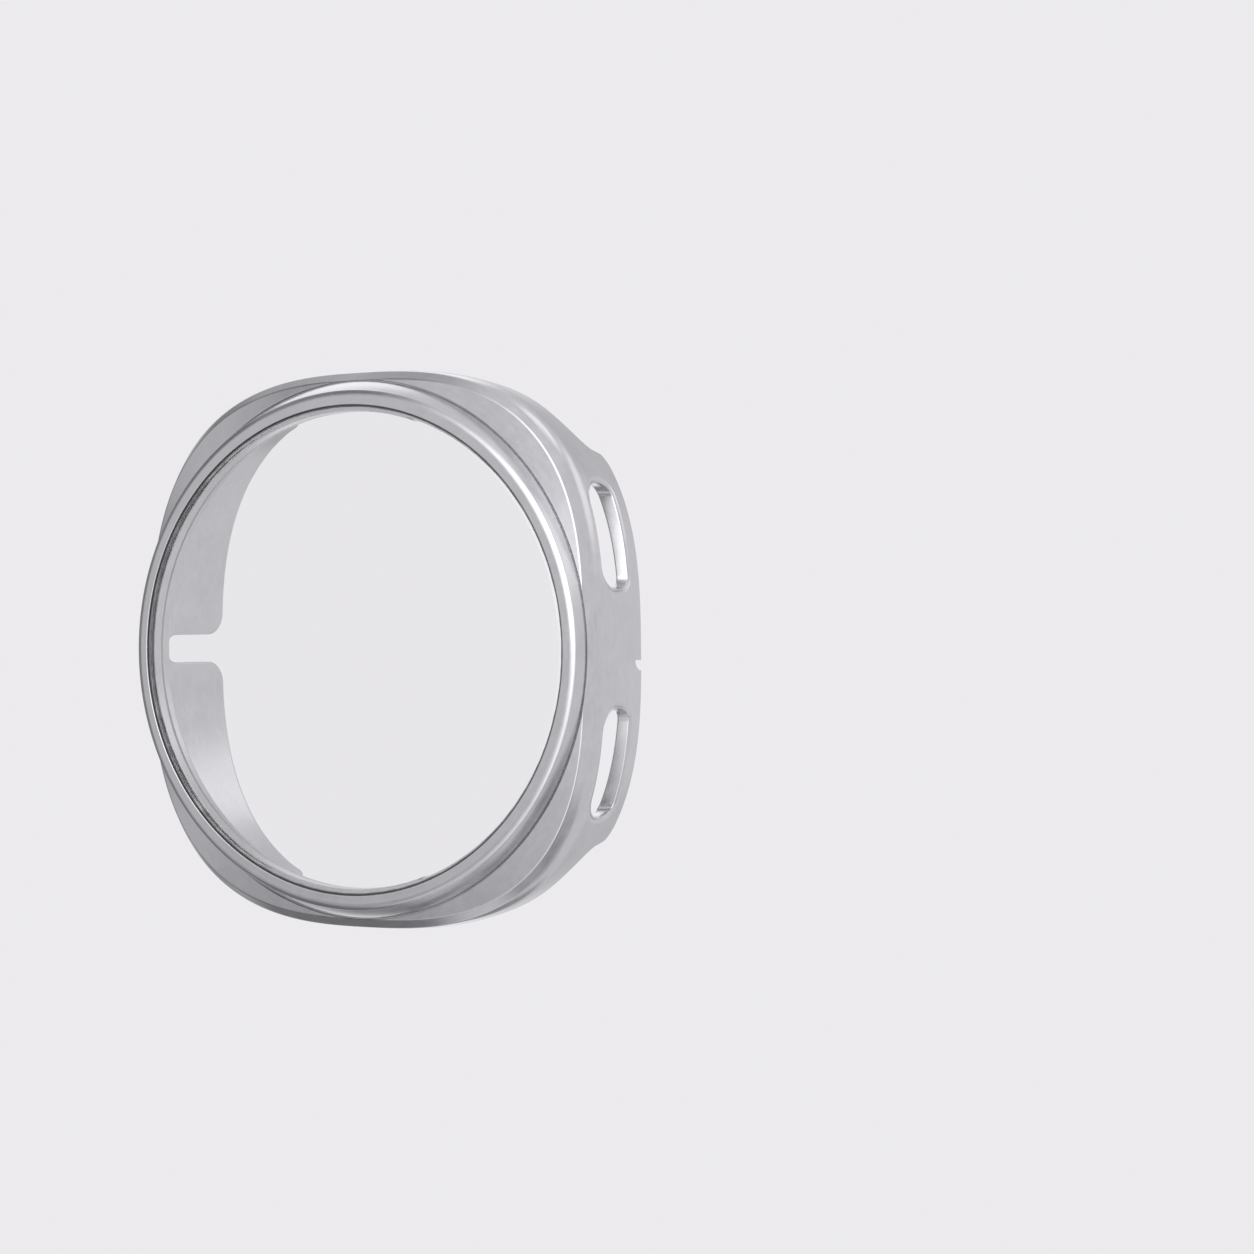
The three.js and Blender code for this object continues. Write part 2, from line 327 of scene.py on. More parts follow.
def arc(centre: Pair, reach: Pair, start: float, end: float, step: float) -> Points:
    """Points on an arc of an ellipse.

    Args:
        centre: The ellipse's middle.
        reach: Its half sizes.
        start: First angle in degrees.
        end: Last angle in degrees.
        step: Longest distance between points.

    Returns:
        The points, both ends included.
    """
    turn = math.radians(end - start)
    pieces = max(4, math.ceil(abs(turn) * max(reach) / step))
    angles = math.radians(start) + turn * np.linspace(0.0, 1.0, pieces + 1)
    return columns(centre[0] + reach[0] * np.cos(angles), centre[1] + reach[1] * np.sin(angles))


def line(start: Pair, end: Pair, step: float) -> Points:
    """Evenly spaced points on a straight line, without its ends."""
    pieces = max(2, math.ceil(math.dist(start, end) / step))
    share = np.linspace(0.0, 1.0, pieces + 1)[1:-1, None]
    return np.array(start) * (1 - share) + np.array(end) * share


def joined(arcs: Sequence[Points], step: float, closed: bool = False) -> Points:
    """Joins rows of points by straight lines, with points on them at most a step apart."""
    pieces: list[Points] = []
    for index, row in enumerate(arcs):
        pieces.append(row)
        if closed or index < len(arcs) - 1:
            pieces.append(line(row[-1], arcs[(index + 1) % len(arcs)][0], step))
    return np.concatenate(pieces)


def smooth_round(values: Points, passes: int = 6) -> Points:
    """Evens out values along a closed row by repeated averaging."""
    for _ in range(passes):
        values = (np.roll(values, 1, axis=0) + 2 * values + np.roll(values, -1, axis=0)) / 4
    return values


def inside(points: Points, polygon: Points) -> Points:
    """Says which points lie inside a closed polygon, by the even-odd rule."""
    crossings = np.zeros(len(points), dtype=int)
    x, y = points[:, 0], points[:, 1]
    for a, b in zip(polygon, np.roll(polygon, -1, axis=0)):
        spans = (a[1] > y) != (b[1] > y)
        if not spans.any():
            continue
        crossing = a[0] + (y[spans] - a[1]) / (b[1] - a[1]) * (b[0] - a[0])
        crossings[spans] += (x[spans] < crossing).astype(int)
    return crossings % 2 == 1


def nearest(points: Points, targets: Points, batch: int = 2000) -> Points:
    """Distance from each point to the nearest target, a batch of points at a time."""
    found = np.full(len(points), np.inf)
    for start in range(0, len(points), batch):
        part = points[start : start + batch]
        gaps = np.linalg.norm(part[:, None, :] - targets[None, :, :], axis=2)
        found[start : start + batch] = gaps.min(1)
    return found


# The frame shell


@dataclass
class EdgeRun:
    """A row of points on a cut edge of the wall.

    plane says what the points are placed by, and points holds (place, depth) rows. In a run placed by angle
    the places are shares of the way between the neighbouring runs. bevel is the size of the inner face's
    bevel along the run: along the face, and into the wall. inner_points are the rows on the inner face, where
    they differ.
    """

    plane: CutPlane
    points: Points
    bevel: Pair = (0.1, 0.1)
    inner_points: Points | None = None

    def rows(self, side: Side) -> Points:
        """The (place, depth) rows on one face of the wall."""
        if side is Side.INNER and self.inner_points is not None:
            return self.inner_points
        return self.points


@dataclass
class CutEdge:
    """A cut edge solved on both faces of the wall, point by point."""

    angle: dict[Side, Points]
    depth: dict[Side, Points]
    bevel: Points
    closed: bool


@dataclass
class FrameShell:
    """The moulding: cushion plate, edge band, side walls with their cuts, snap rim, pocket and tongue."""

    # Outlines
    foot: Cushion = Cushion(22.47, 23.39)
    plate: Cushion = Cushion(22.22, 23.48, 2.77)
    band: Cushion = Cushion(22.54, 24.26, 2.73)
    belly: Cushion = Cushion(22.849, 24.359, 2.85)
    rear: Cushion = Cushion(22.54, 23.8, 2.8)
    pocket: Cushion = Cushion(21.95, 23.1, 2.8)
    snap: Cushion = Cushion(21.41, 23.0, 2.65)

    # Depths, and how the wall's faces swell and draw in
    ring_depth: float = 1.9
    band_depth: float = 2.65
    seat_depth: float = 3.5
    belly_depth: float = 4.4
    pocket_depth: float = 5.5
    cover_depth: float = 12.2
    plate_ledge: float = 0.1
    least_band: float = 0.16
    swell_power: float = 2.5
    waist_power: float = 1.7
    snap_power: float = 1.25

    # The tongue that the ring sits on, and the bore
    tongue_inner: float = 21.55
    tongue_outer: float = 21.95
    tongue_height: float = 0.35
    display_radius: float = 21.25

    # The seam at the ring's foot, the plate's slope and the rounds
    seam_width: float = 0.11
    seam_depth: float = 0.17
    plate_slope: float = 0.25
    corner_fall: float = 0.42
    corner_drop: float = 0.2
    plate_round: float = 0.11
    lip_round: float = 0.05
    crease_round: float = 0.12
    edge_round: float = 0.11
    round_to_bevel: float = 1.3
    seam_floor: Pair = (0.7, -0.2)
    seam_inner: float = -0.5
    seam_rounds: Pair = (0.015, 0.01)
    tongue_round: float = 0.03
    bore_round: float = 0.02
    seat_round: float = 0.14
    pocket_round: float = 0.16

    # The button windows
    upper_window: Pair = (5.04, 14.19)
    lower_window: Pair = (-14.54, -5.17)
    window_front: float = 4.8
    window_rear: float = 9.87
    window_front_corner: Pair = (1.95, 2.55)
    window_rear_corner: Pair = (1.15, 2.1)
    window_draft: Pair = (0.1, 0.29)
    window_chamfer: float = 0.5
    window_chamfer_drop: float = 0.11

    # The flex notch
    notch_width: float = 2.55
    notch_height: float = 0.13
    notch_front: float = 4.66
    notch_corner: float = 0.6
    notch_corner_reach: float = 1.1
    notch_mouth: float = 2.0
    notch_bevel: Pair = (0.14, 0.1)

    # The microphone relief
    mic_height: float = -1.08
    mic_width: float = 0.9
    mic_reach: float = 1.35
    mic_round: float = 0.12
    mic_bevel: Pair = (0.03, 0.03)

    # The strap reliefs, the tabs beside them and the rear rim
    relief_from: float = -12.25
    relief_to: float = 19.05
    relief_front: float = 7.35
    relief_fillet: float = 2.65
    tab_round: float = 0.8
    rim_length: float = 17.0
    rim_bevel: Pair = (0.24, 0.12)

    # How fine the mesh is, and the depths where the triangles of the wall's faces begin
    outer_start: float = 3.4
    outer_rows: tuple[float, ...] = (3.3, 3.2, 3.1)
    inner_start: float = 3.8
    stations: int = 528
    row_step: float = 0.36
    row_clearance: float = 0.6
    straight_step: float = 0.2
    arc_step: float = 0.12

    def outer_radius(self, angle: Points, depth: Points) -> Points:
        """Radius of the wall's outer face: it swells from the edge band to the belly, then draws in."""
        edge = self.band_edge(angle)
        belly = self.belly.radius(angle)
        rear = self.rear.radius(angle)
        front = self.band_rear(angle)
        swell = np.clip((depth - front) / (self.belly_depth - front), 0.0, 1.0)
        draw = np.clip((depth - self.belly_depth) / (self.cover_depth - self.belly_depth), 0.0, 1.0)
        swollen = 1 - (1 - swell) ** self.swell_power
        return edge + (belly - edge) * swollen + (rear - belly) * draw**self.waist_power

    def inner_radius(self, angle: Points, depth: Points) -> Points:
        """Radius of the wall's inner face: the pocket, then the snap rim that draws in behind the body."""
        share = np.clip((depth - self.pocket_depth) / (self.cover_depth - self.pocket_depth), 0.0, 1.0)
        pocket = self.pocket.radius(angle)
        return pocket + (self.snap.radius(angle) - pocket) * share**self.snap_power

    def plate_edge(self, angle: Points) -> Points:
        """Radius of the plate's edge, which always clears the ring's foot."""
        return np.maximum(self.plate.radius(angle), self.foot.radius(angle) + self.plate_ledge)

    def plate_fall(self, angle: Points) -> Points:
        """How far the plate falls from the ring's foot to its edge: most in the corners, where it is wide."""
        width = self.plate_edge(angle) - self.foot.radius(angle)
        return self.corner_fall * np.tanh(width * self.plate_slope / self.corner_fall)

    def band_rear(self, angle: Points) -> Points:
        """Depth of the edge band's outer edge."""
        return self.band_depth + self.corner_drop * self.plate_fall(angle) / self.corner_fall

    def band_edge(self, angle: Points) -> Points:
        """Radius of the edge band's outer edge."""
        return np.maximum(self.band.radius(angle), self.plate_edge(angle) + self.least_band)

    def face_radius(self, side: Side) -> Callable[[Points, Points], Points]:
        """The radius function of one face of the wall."""
        return self.outer_radius if side is Side.OUTER else self.inner_radius

    def face_point(self, side: Side, angle: Points, depth: Points) -> Points:
        """Points on one face of the wall."""
        return turned(self.face_radius(side)(angle, depth), depth, angle)

    def face_normal(self, side: Side, angle: Points, depth: Points) -> Points:
        """Unit normals of one face of the wall, pointing out of the material."""
        step = 1e-3
        round_way = self.face_point(side, angle + step, depth) - self.face_point(side, angle - step, depth)
        back_way = self.face_point(side, angle, depth + step) - self.face_point(side, angle, depth - step)
        normal = np.cross(back_way, round_way)
        return side.value * normal / np.linalg.norm(normal, axis=1, keepdims=True)

    def solve_angle(self, side: Side, plane: CutPlane, points: Points) -> Points:
        """Angles at which one face of the wall meets a cut plane's places.

        Args:
            side: The face of the wall.
            plane: What the points are placed by.
            points: (place, depth) rows.

        Returns:
            The angle of each point, in radians.
        """
        share_at, least, most = plane.value
        low = np.full(len(points), least)
        high = np.full(len(points), most)
        radius = self.face_radius(side)
        for _ in range(HALVINGS):
            middle = (low + high) / 2
            past = radius(middle, points[:, 1]) * share_at(middle) > points[:, 0]
            low = np.where(past, low, middle)
            high = np.where(past, middle, high)
        return (low + high) / 2

    def solve_edge(self, runs: Sequence[EdgeRun], closed: bool) -> CutEdge:
        """Solves a row of edge runs on both faces of the wall.

        Args:
            runs: The runs in the order of growing angle.
            closed: Whether the edge is a loop round a window.

        Returns:
            The edge, with the same number of points on both faces.
        """
        angles: dict[Side, list[Points]] = {Side.OUTER: [], Side.INNER: []}
        for side, solved in angles.items():
            fixed = [
                None if run.plane is CutPlane.ANGLE else self.solve_angle(side, run.plane, run.rows(side))
                for run in runs
            ]
            for index, run in enumerate(runs):
                if fixed[index] is not None:
                    solved.append(fixed[index])
                    continue
                start = fixed[index - 1][-1]
                end = fixed[index + 1][0]
                solved.append(start + (end - start) * run.points[:, 0])
        depth = {side: np.concatenate([run.rows(side)[:, 1] for run in runs]) for side in angles}
        bevels = [np.tile(run.bevel, (len(run.points), 1)) for run in runs]
        both = {side: np.concatenate(solved) for side, solved in angles.items()}
        return CutEdge(both, depth, smooth_round(np.concatenate(bevels)), closed)

    def window_edge(self, low_end: float, high_end: float) -> CutEdge:
        """The loop round a button window between two heights. Its passage narrows towards the inside."""
        front_reach = self.window_front_corner
        rear_reach = self.window_rear_corner
        front = self.window_front + front_reach[1]
        rear = self.window_rear - rear_reach[1]
        corners = [
            arc((high_end - front_reach[0], front), front_reach, -90, 0, self.arc_step),
            arc((high_end - rear_reach[0], rear), rear_reach, 0, 90, self.arc_step),
            arc((low_end + rear_reach[0], rear), rear_reach, 90, 180, self.arc_step),
            arc((low_end + front_reach[0], front), front_reach, 180, 270, self.arc_step),
        ]
        outline = joined(corners, self.straight_step, True)
        tangent = tangents(outline, True)
        inwards = columns(-tangent[:, 1], tangent[:, 0])
        passage = outline + inwards * self.window_draft
        return self.solve_edge([EdgeRun(CutPlane.THREE, outline, inner_points=passage)], True)

    def relief_corner(self, right: bool) -> Points:
        """A tab's side from the low edge back to the rear rim, as (place, depth) rows."""
        wall, way = (self.relief_to, 1.0) if right else (self.relief_from, -1.0)
        fillet_end, tab_start = (0.0, 180.0) if right else (180.0, 0.0)
        fillet = self.relief_fillet
        tab = self.tab_round
        middle = (wall - way * fillet, self.relief_front + fillet)
        tab_middle = (wall + way * tab, self.cover_depth - tab)
        arcs = [
            arc(middle, (fillet, -fillet), 90.0, fillet_end, self.arc_step),
            arc(tab_middle, (tab, tab), tab_start, 90.0, self.arc_step),
        ]
        return joined(arcs, self.straight_step)

    def rim_run(self) -> EdgeRun:
        """The rear rim between two cuts, with the wide bevel that leads the watch in."""
        share = shares(round(self.rim_length / self.straight_step))[:-1]
        return EdgeRun(CutPlane.ANGLE, columns(share, self.cover_depth), self.rim_bevel)

    def mic_run(self) -> EdgeRun:
        """The microphone relief: a quarter of an ellipse beside a straight side, with eased corners."""
        rear = self.cover_depth
        ease = self.mic_round
        left = self.mic_height - self.mic_width
        right = self.mic_height
        tip = rear - self.mic_reach
        step = self.arc_step / 3
        full = arc((right, rear), (self.mic_width, self.mic_reach), 180, 270, step)
        sweep = full[(full[:, 1] < rear - ease) & (full[:, 0] < right - ease)]
        pieces = [
            arc((left - ease, rear - ease), (ease, ease), 90, 0, step),
            sweep,
            arc((right - ease, tip + ease), (ease, ease), -60, 0, step),
            line((right, tip + ease), (right, rear - ease), step * 2),
            arc((right + ease, rear - ease), (ease, ease), 180, 90, step),
        ]
        return EdgeRun(CutPlane.THREE, np.concatenate(pieces), self.mic_bevel)

    def notch_run(self) -> EdgeRun:
        """The flex notch in the 9 o'clock wall, from its upper mouth round to its lower one."""
        rear = self.cover_depth
        mouth = self.notch_mouth
        corner = self.notch_corner
        high = self.notch_height + self.notch_width / 2
        low = self.notch_height - self.notch_width / 2
        reach = (corner, self.notch_corner_reach)
        front = self.notch_front + self.notch_corner_reach
        arcs = [
            arc((high + mouth, rear - mouth), (mouth, mouth), 90, 180, self.arc_step),
            arc((high - corner, front), reach, 0, -90, self.arc_step),
            arc((low + corner, front), reach, 270, 180, self.arc_step),
            arc((low - mouth, rear - mouth), (mouth, mouth), 0, 90, self.arc_step),
        ]
        return EdgeRun(CutPlane.NINE, joined(arcs, self.straight_step), self.notch_bevel)

    def rear_edge(self) -> CutEdge:
        """The wall's whole rear edge from 6 o'clock: low edges, tabs, rims, microphone relief and notch."""
        step = self.straight_step
        seam = np.array([[0.0, self.relief_front]])
        right = self.relief_corner(True)
        left = self.relief_corner(False)
        rim = self.rim_run()
        runs = [
            EdgeRun(CutPlane.SIX_RIGHT, joined([seam, right], step)),
            rim,
            self.mic_run(),
            rim,
            EdgeRun(CutPlane.TWELVE, joined([right[::-1], left], step)),
            rim,
            self.notch_run(),
            rim,
            EdgeRun(CutPlane.SIX_LEFT, joined([left[::-1], seam], step)),
        ]
        return self.solve_edge(runs, False)

    def arc_length(self, angle: Points) -> Points:
        """Distance round the wall from 6 o'clock to each angle."""
        grid = np.linspace(TURN_START, TURN_END, TURN_STATIONS)
        middle = (self.belly.radius(grid) + self.pocket.radius(grid)) / 2
        steps = np.linalg.norm(np.diff(turned(middle, 0.0, grid), axis=0), axis=1)
        return np.interp(angle, grid, np.concatenate([[0.0], np.cumsum(steps)]))

    def angle_at(self, length: Points) -> Points:
        """The inverse of arc_length."""
        grid = np.linspace(TURN_START, TURN_END, TURN_STATIONS)
        return np.interp(length, self.arc_length(grid), grid)

    def flat(self, rows: Points) -> Points:
        """Lays (angle, depth) rows out flat, as (distance round the wall, depth) rows."""
        return columns(self.arc_length(rows[:, 0]), rows[:, 1])

    def edge_profile(self, edge: CutEdge, side: Side) -> tuple[Points, Points, tuple[Pair, ...]]:
        """The reach along the face, the drop into the wall and the profile of a cut edge's round or bevel."""
        if side is Side.INNER:
            return edge.bevel[:, :1], edge.bevel[:, 1:], INNER_BEVEL
        if edge.closed:
            return np.array([[self.window_chamfer]]), np.array([[self.window_chamfer_drop]]), WINDOW_RIM
        reach = np.minimum(self.edge_round, edge.bevel[:, :1] * self.round_to_bevel)
        return reach, reach, OUTER_ROUND

    def edge_rings(self, draft: MeshDraft, edge: CutEdge, side: Side) -> tuple[int, Points]:
        """Builds the small round or bevel along a cut edge on one face of the wall.

        Args:
            draft: The mesh in the making.
            edge: The cut edge.
            side: The face of the wall.

        Returns:
            The index of the first vertex on the cut itself, then the (angle, depth) rows of the last ring,
            where the face begins.
        """
        flat = self.flat(columns(edge.angle[side], edge.depth[side]))
        tangent = tangents(flat, edge.closed)
        away = columns(tangent[:, 1], -tangent[:, 0])
        reach, drop, profile = self.edge_profile(edge, side)
        rings: list[Points] = []
        for along, into in (*profile, SUPPORT_RING):
            place = flat + away * reach * along
            angle = self.angle_at(place[:, 0]) if along > 0 else edge.angle[side]
            points = self.face_point(side, angle, place[:, 1])
            points = points - self.face_normal(side, angle, place[:, 1]) * drop * into
            points[:, 1] = np.minimum(points[:, 1], self.cover_depth)
            rings.append(points)
        return draft.sheet(rings, edge.closed), columns(angle, place[:, 1])

    def wall_face(self, draft: MeshDraft, side: Side, start: float, loops: list[Points]) -> None:
        """Fills one face of the wall between its front line and its cut edges with triangles.

        Args:
            draft: The mesh in the making.
            side: The face of the wall.
            start: Depth of the front line.
            loops: The (angle, depth) rows where the face begins at each cut edge, the rear edge first.
        """
        angles = np.linspace(TURN_START, TURN_END, self.stations + 1)
        depths = np.arange(start + self.row_step, self.cover_depth, self.row_step)
        seam = depths[depths < loops[0][0, 1] - self.row_step / 3]
        front = columns(angles, start)
        sides = [columns(angle, seam) for angle in (TURN_START, TURN_END)]
        rear_flat, *holes = [self.flat(loop) for loop in loops]
        outline = np.concatenate([self.flat(front), rear_flat[::-1]])

        def on_face(points: Points) -> Points:
            return inside(points, outline) & ~np.any([inside(points, hole) for hole in holes], axis=0)

        clear = self.row_step * self.row_clearance
        grid = np.stack(np.meshgrid(angles[1:-1], depths, indexing="ij"), -1).reshape(-1, 2)
        flat_grid = self.flat(grid)
        keep = on_face(flat_grid)
        keep[keep] &= nearest(flat_grid[keep], np.concatenate([rear_flat, *holes])) > clear
        every = np.concatenate([front, *loops, *sides, grid[keep]])
        flat = self.flat(every)
        edges = self.kept_edges([len(front), *map(len, loops)], len(seam))
        solved = delaunay_2d_cdt([Vector(row) for row in flat.tolist()], edges, [], 0, 1e-7)
        source = [where[0] for where in solved[3]]
        triangles = np.array([[source[k] for k in face] for face in solved[2]])
        good = on_face(flat[triangles].mean(1))
        first = draft.add(self.face_point(side, every[:, 0], every[:, 1]))
        draft.faces.extend(tuple(int(first + k) for k in face) for face in triangles[good])

    @staticmethod
    def kept_edges(lengths: list[int], seam_length: int) -> list[tuple[int, int]]:
        """Edges that the triangles of a wall face have to keep.

        Args:
            lengths: Points in the front line, the rear edge and each window's loop, in their order.
            seam_length: Points on each side of the seam at 6 o'clock, which follow them.

        Returns:
            Pairs of point indices.
        """
        edges: list[tuple[int, int]] = []
        offset = 0
        for index, length in enumerate(lengths):
            edges += [(offset + k, offset + k + 1) for k in range(length - 1)]
            if index > 1:
                edges.append((offset + length - 1, offset))
            offset += length
        front, rear = lengths[:2]
        for front_end, rear_end in ((0, front), (front - 1, front + rear - 1)):
            chain = [front_end, *range(offset, offset + seam_length), rear_end]
            edges += zip(chain, chain[1:])
            offset += seam_length
        return edges

    def front_section(self, angle: Points) -> list[Points]:
        """The section from the outer wall over the edge band, plate, ring seat and bore to the pocket."""

        def at(radius: Points | float, depth: Points | float) -> Points:
            return columns(np.broadcast_to(radius, angle.shape), depth)

        ring = self.ring_depth
        tongue = ring - self.tongue_height
        foot = self.foot.radius(angle)
        seam = self.seam_width
        seam_floor = ring + self.seam_depth
        plate_edge = self.plate_edge(angle)
        plate_width = plate_edge - foot
        plate_round = np.minimum(self.plate_round, 0.4 * plate_width)[:, None]
        edge_fall = self.plate_fall(angle)
        pocket = self.pocket.radius(angle)
        depths = (self.outer_start, *self.outer_rows)
        wall = [at(self.outer_radius(angle, depth), depth) for depth in depths]
        seam_corners = [at(foot + share * seam, seam_floor) for share in self.seam_floor]
        corners = [
            (wall[-1], 0),
            (at(self.band_edge(angle), self.band_rear(angle)), self.crease_round),
            (at(plate_edge, ring + edge_fall), plate_round),
            (at(foot + seam, ring + edge_fall / plate_width * seam), self.lip_round),
            *zip(seam_corners, self.seam_rounds),
            (at(foot + self.seam_inner * seam, ring), 0),
            (at(self.tongue_outer, ring), 0),
            (at(self.tongue_outer, tongue), self.tongue_round),
            (at(self.tongue_inner, tongue), self.tongue_round),
            (at(self.tongue_inner, ring), 0),
            (at(self.display_radius, ring), self.bore_round),
            (at(self.display_radius, self.seat_depth), self.seat_round),
            (at(pocket, self.seat_depth), self.pocket_round),
            (at(pocket, self.inner_start), 0),
        ]
        return wall[:-1] + rounded_section(*zip(*corners))

    def build(self) -> bpy.types.Object:
        """Makes the whole moulding as one closed mesh."""
        draft = MeshDraft()
        angles = np.linspace(TURN_START, TURN_END, self.stations + 1)[:-1]
        draft.sheet((turned(row[:, 0], row[:, 1], angles) for row in self.front_section(angles)), True)
        edges = [self.rear_edge(), self.window_edge(*self.lower_window), self.window_edge(*self.upper_window)]
        firsts: list[list[int]] = []
        for side, start in ((Side.OUTER, self.outer_start), (Side.INNER, self.inner_start)):
            rings = [self.edge_rings(draft, edge, side) for edge in edges]
            self.wall_face(draft, side, start, [loop for _, loop in rings])
            firsts.append([first for first, _ in rings])
        for edge, outer_first, inner_first in zip(edges, *firsts):
            draft.bridge(outer_first, inner_first, edge.closed)
        return draft.to_object("frame_shell_moulding")


# Node trees


class Wiring:
    """Short calls to add and join the nodes of a tree."""

    def __init__(self, tree: bpy.types.NodeTree) -> None:
        """Starts with an empty tree."""
        self.tree = tree
        self.tree.nodes.clear()

    def put(self, socket: Socket, value: object) -> None:
        """Joins a socket to another one, or gives it a value."""
        if isinstance(value, Socket):
            self.tree.links.new(value, socket)
        else:
            socket.default_value = value

    def node(self, kind: str, given: Given | None = None, **settings: object) -> bpy.types.Node:
        """Adds a node.

        Args:
            kind: The node's type.
            given: What its sockets are joined to or filled with, by their names or places.
            settings: Its properties.

        Returns:
            The node.
        """
        made = self.tree.nodes.new(kind)
        for name, value in settings.items():
            setattr(made, name, value)
        for key, value in (given or {}).items():
            self.put(made.inputs[key], value)
        return made

    def math(self, operation: str, first: object, second: object = 0.0) -> Socket:
        """Adds a math node and returns its result."""
        return self.node("ShaderNodeMath", {0: first, 1: second}, operation=operation).outputs[0]

    def remap(self, value: Socket, span: Pair, to: Pair, interpolation: str = "LINEAR") -> Socket:
        """Maps a value from one range to another, clamped."""
        given = {"Value": value, "From Min": span[0], "From Max": span[1], "To Min": to[0], "To Max": to[1]}
        return self.node("ShaderNodeMapRange", given, interpolation_type=interpolation).outputs[0]

    def noise(self, place: Socket, scale: object, detail: float = 2.0, roughness: float = 0.5) -> Socket:
        """Adds soft noise and returns its value."""
        given = {"Vector": place, "Scale": scale, "Detail": detail, "Roughness": roughness}
        return self.node("ShaderNodeTexNoise", given).outputs[0]

    def vector(self, *parts: object) -> Socket:
        """Adds a vector made of three parts."""
        return self.node("ShaderNodeCombineXYZ", dict(enumerate(parts))).outputs[0]


# Rings swept by Geometry Nodes


@dataclass
class RingSection:
    """A section for RingSweep: its points, their shares, and how the ring is swept.

    points holds (radius, depth) pairs. stretch says how far each point follows the foot's ellipse, and loose
    how uneven it is. Where one of them is empty, it is zero for every point.
    """

    points: Sequence[Pair]
    foot: Cushion
    stretch: Sequence[float] = ()
    loose: Sequence[float] = ()
    closed: bool = True
    stations: int = 600
    unevenness: float = 0.0
    unevenness_scale: float = 1.0
    seed: float = 0.0


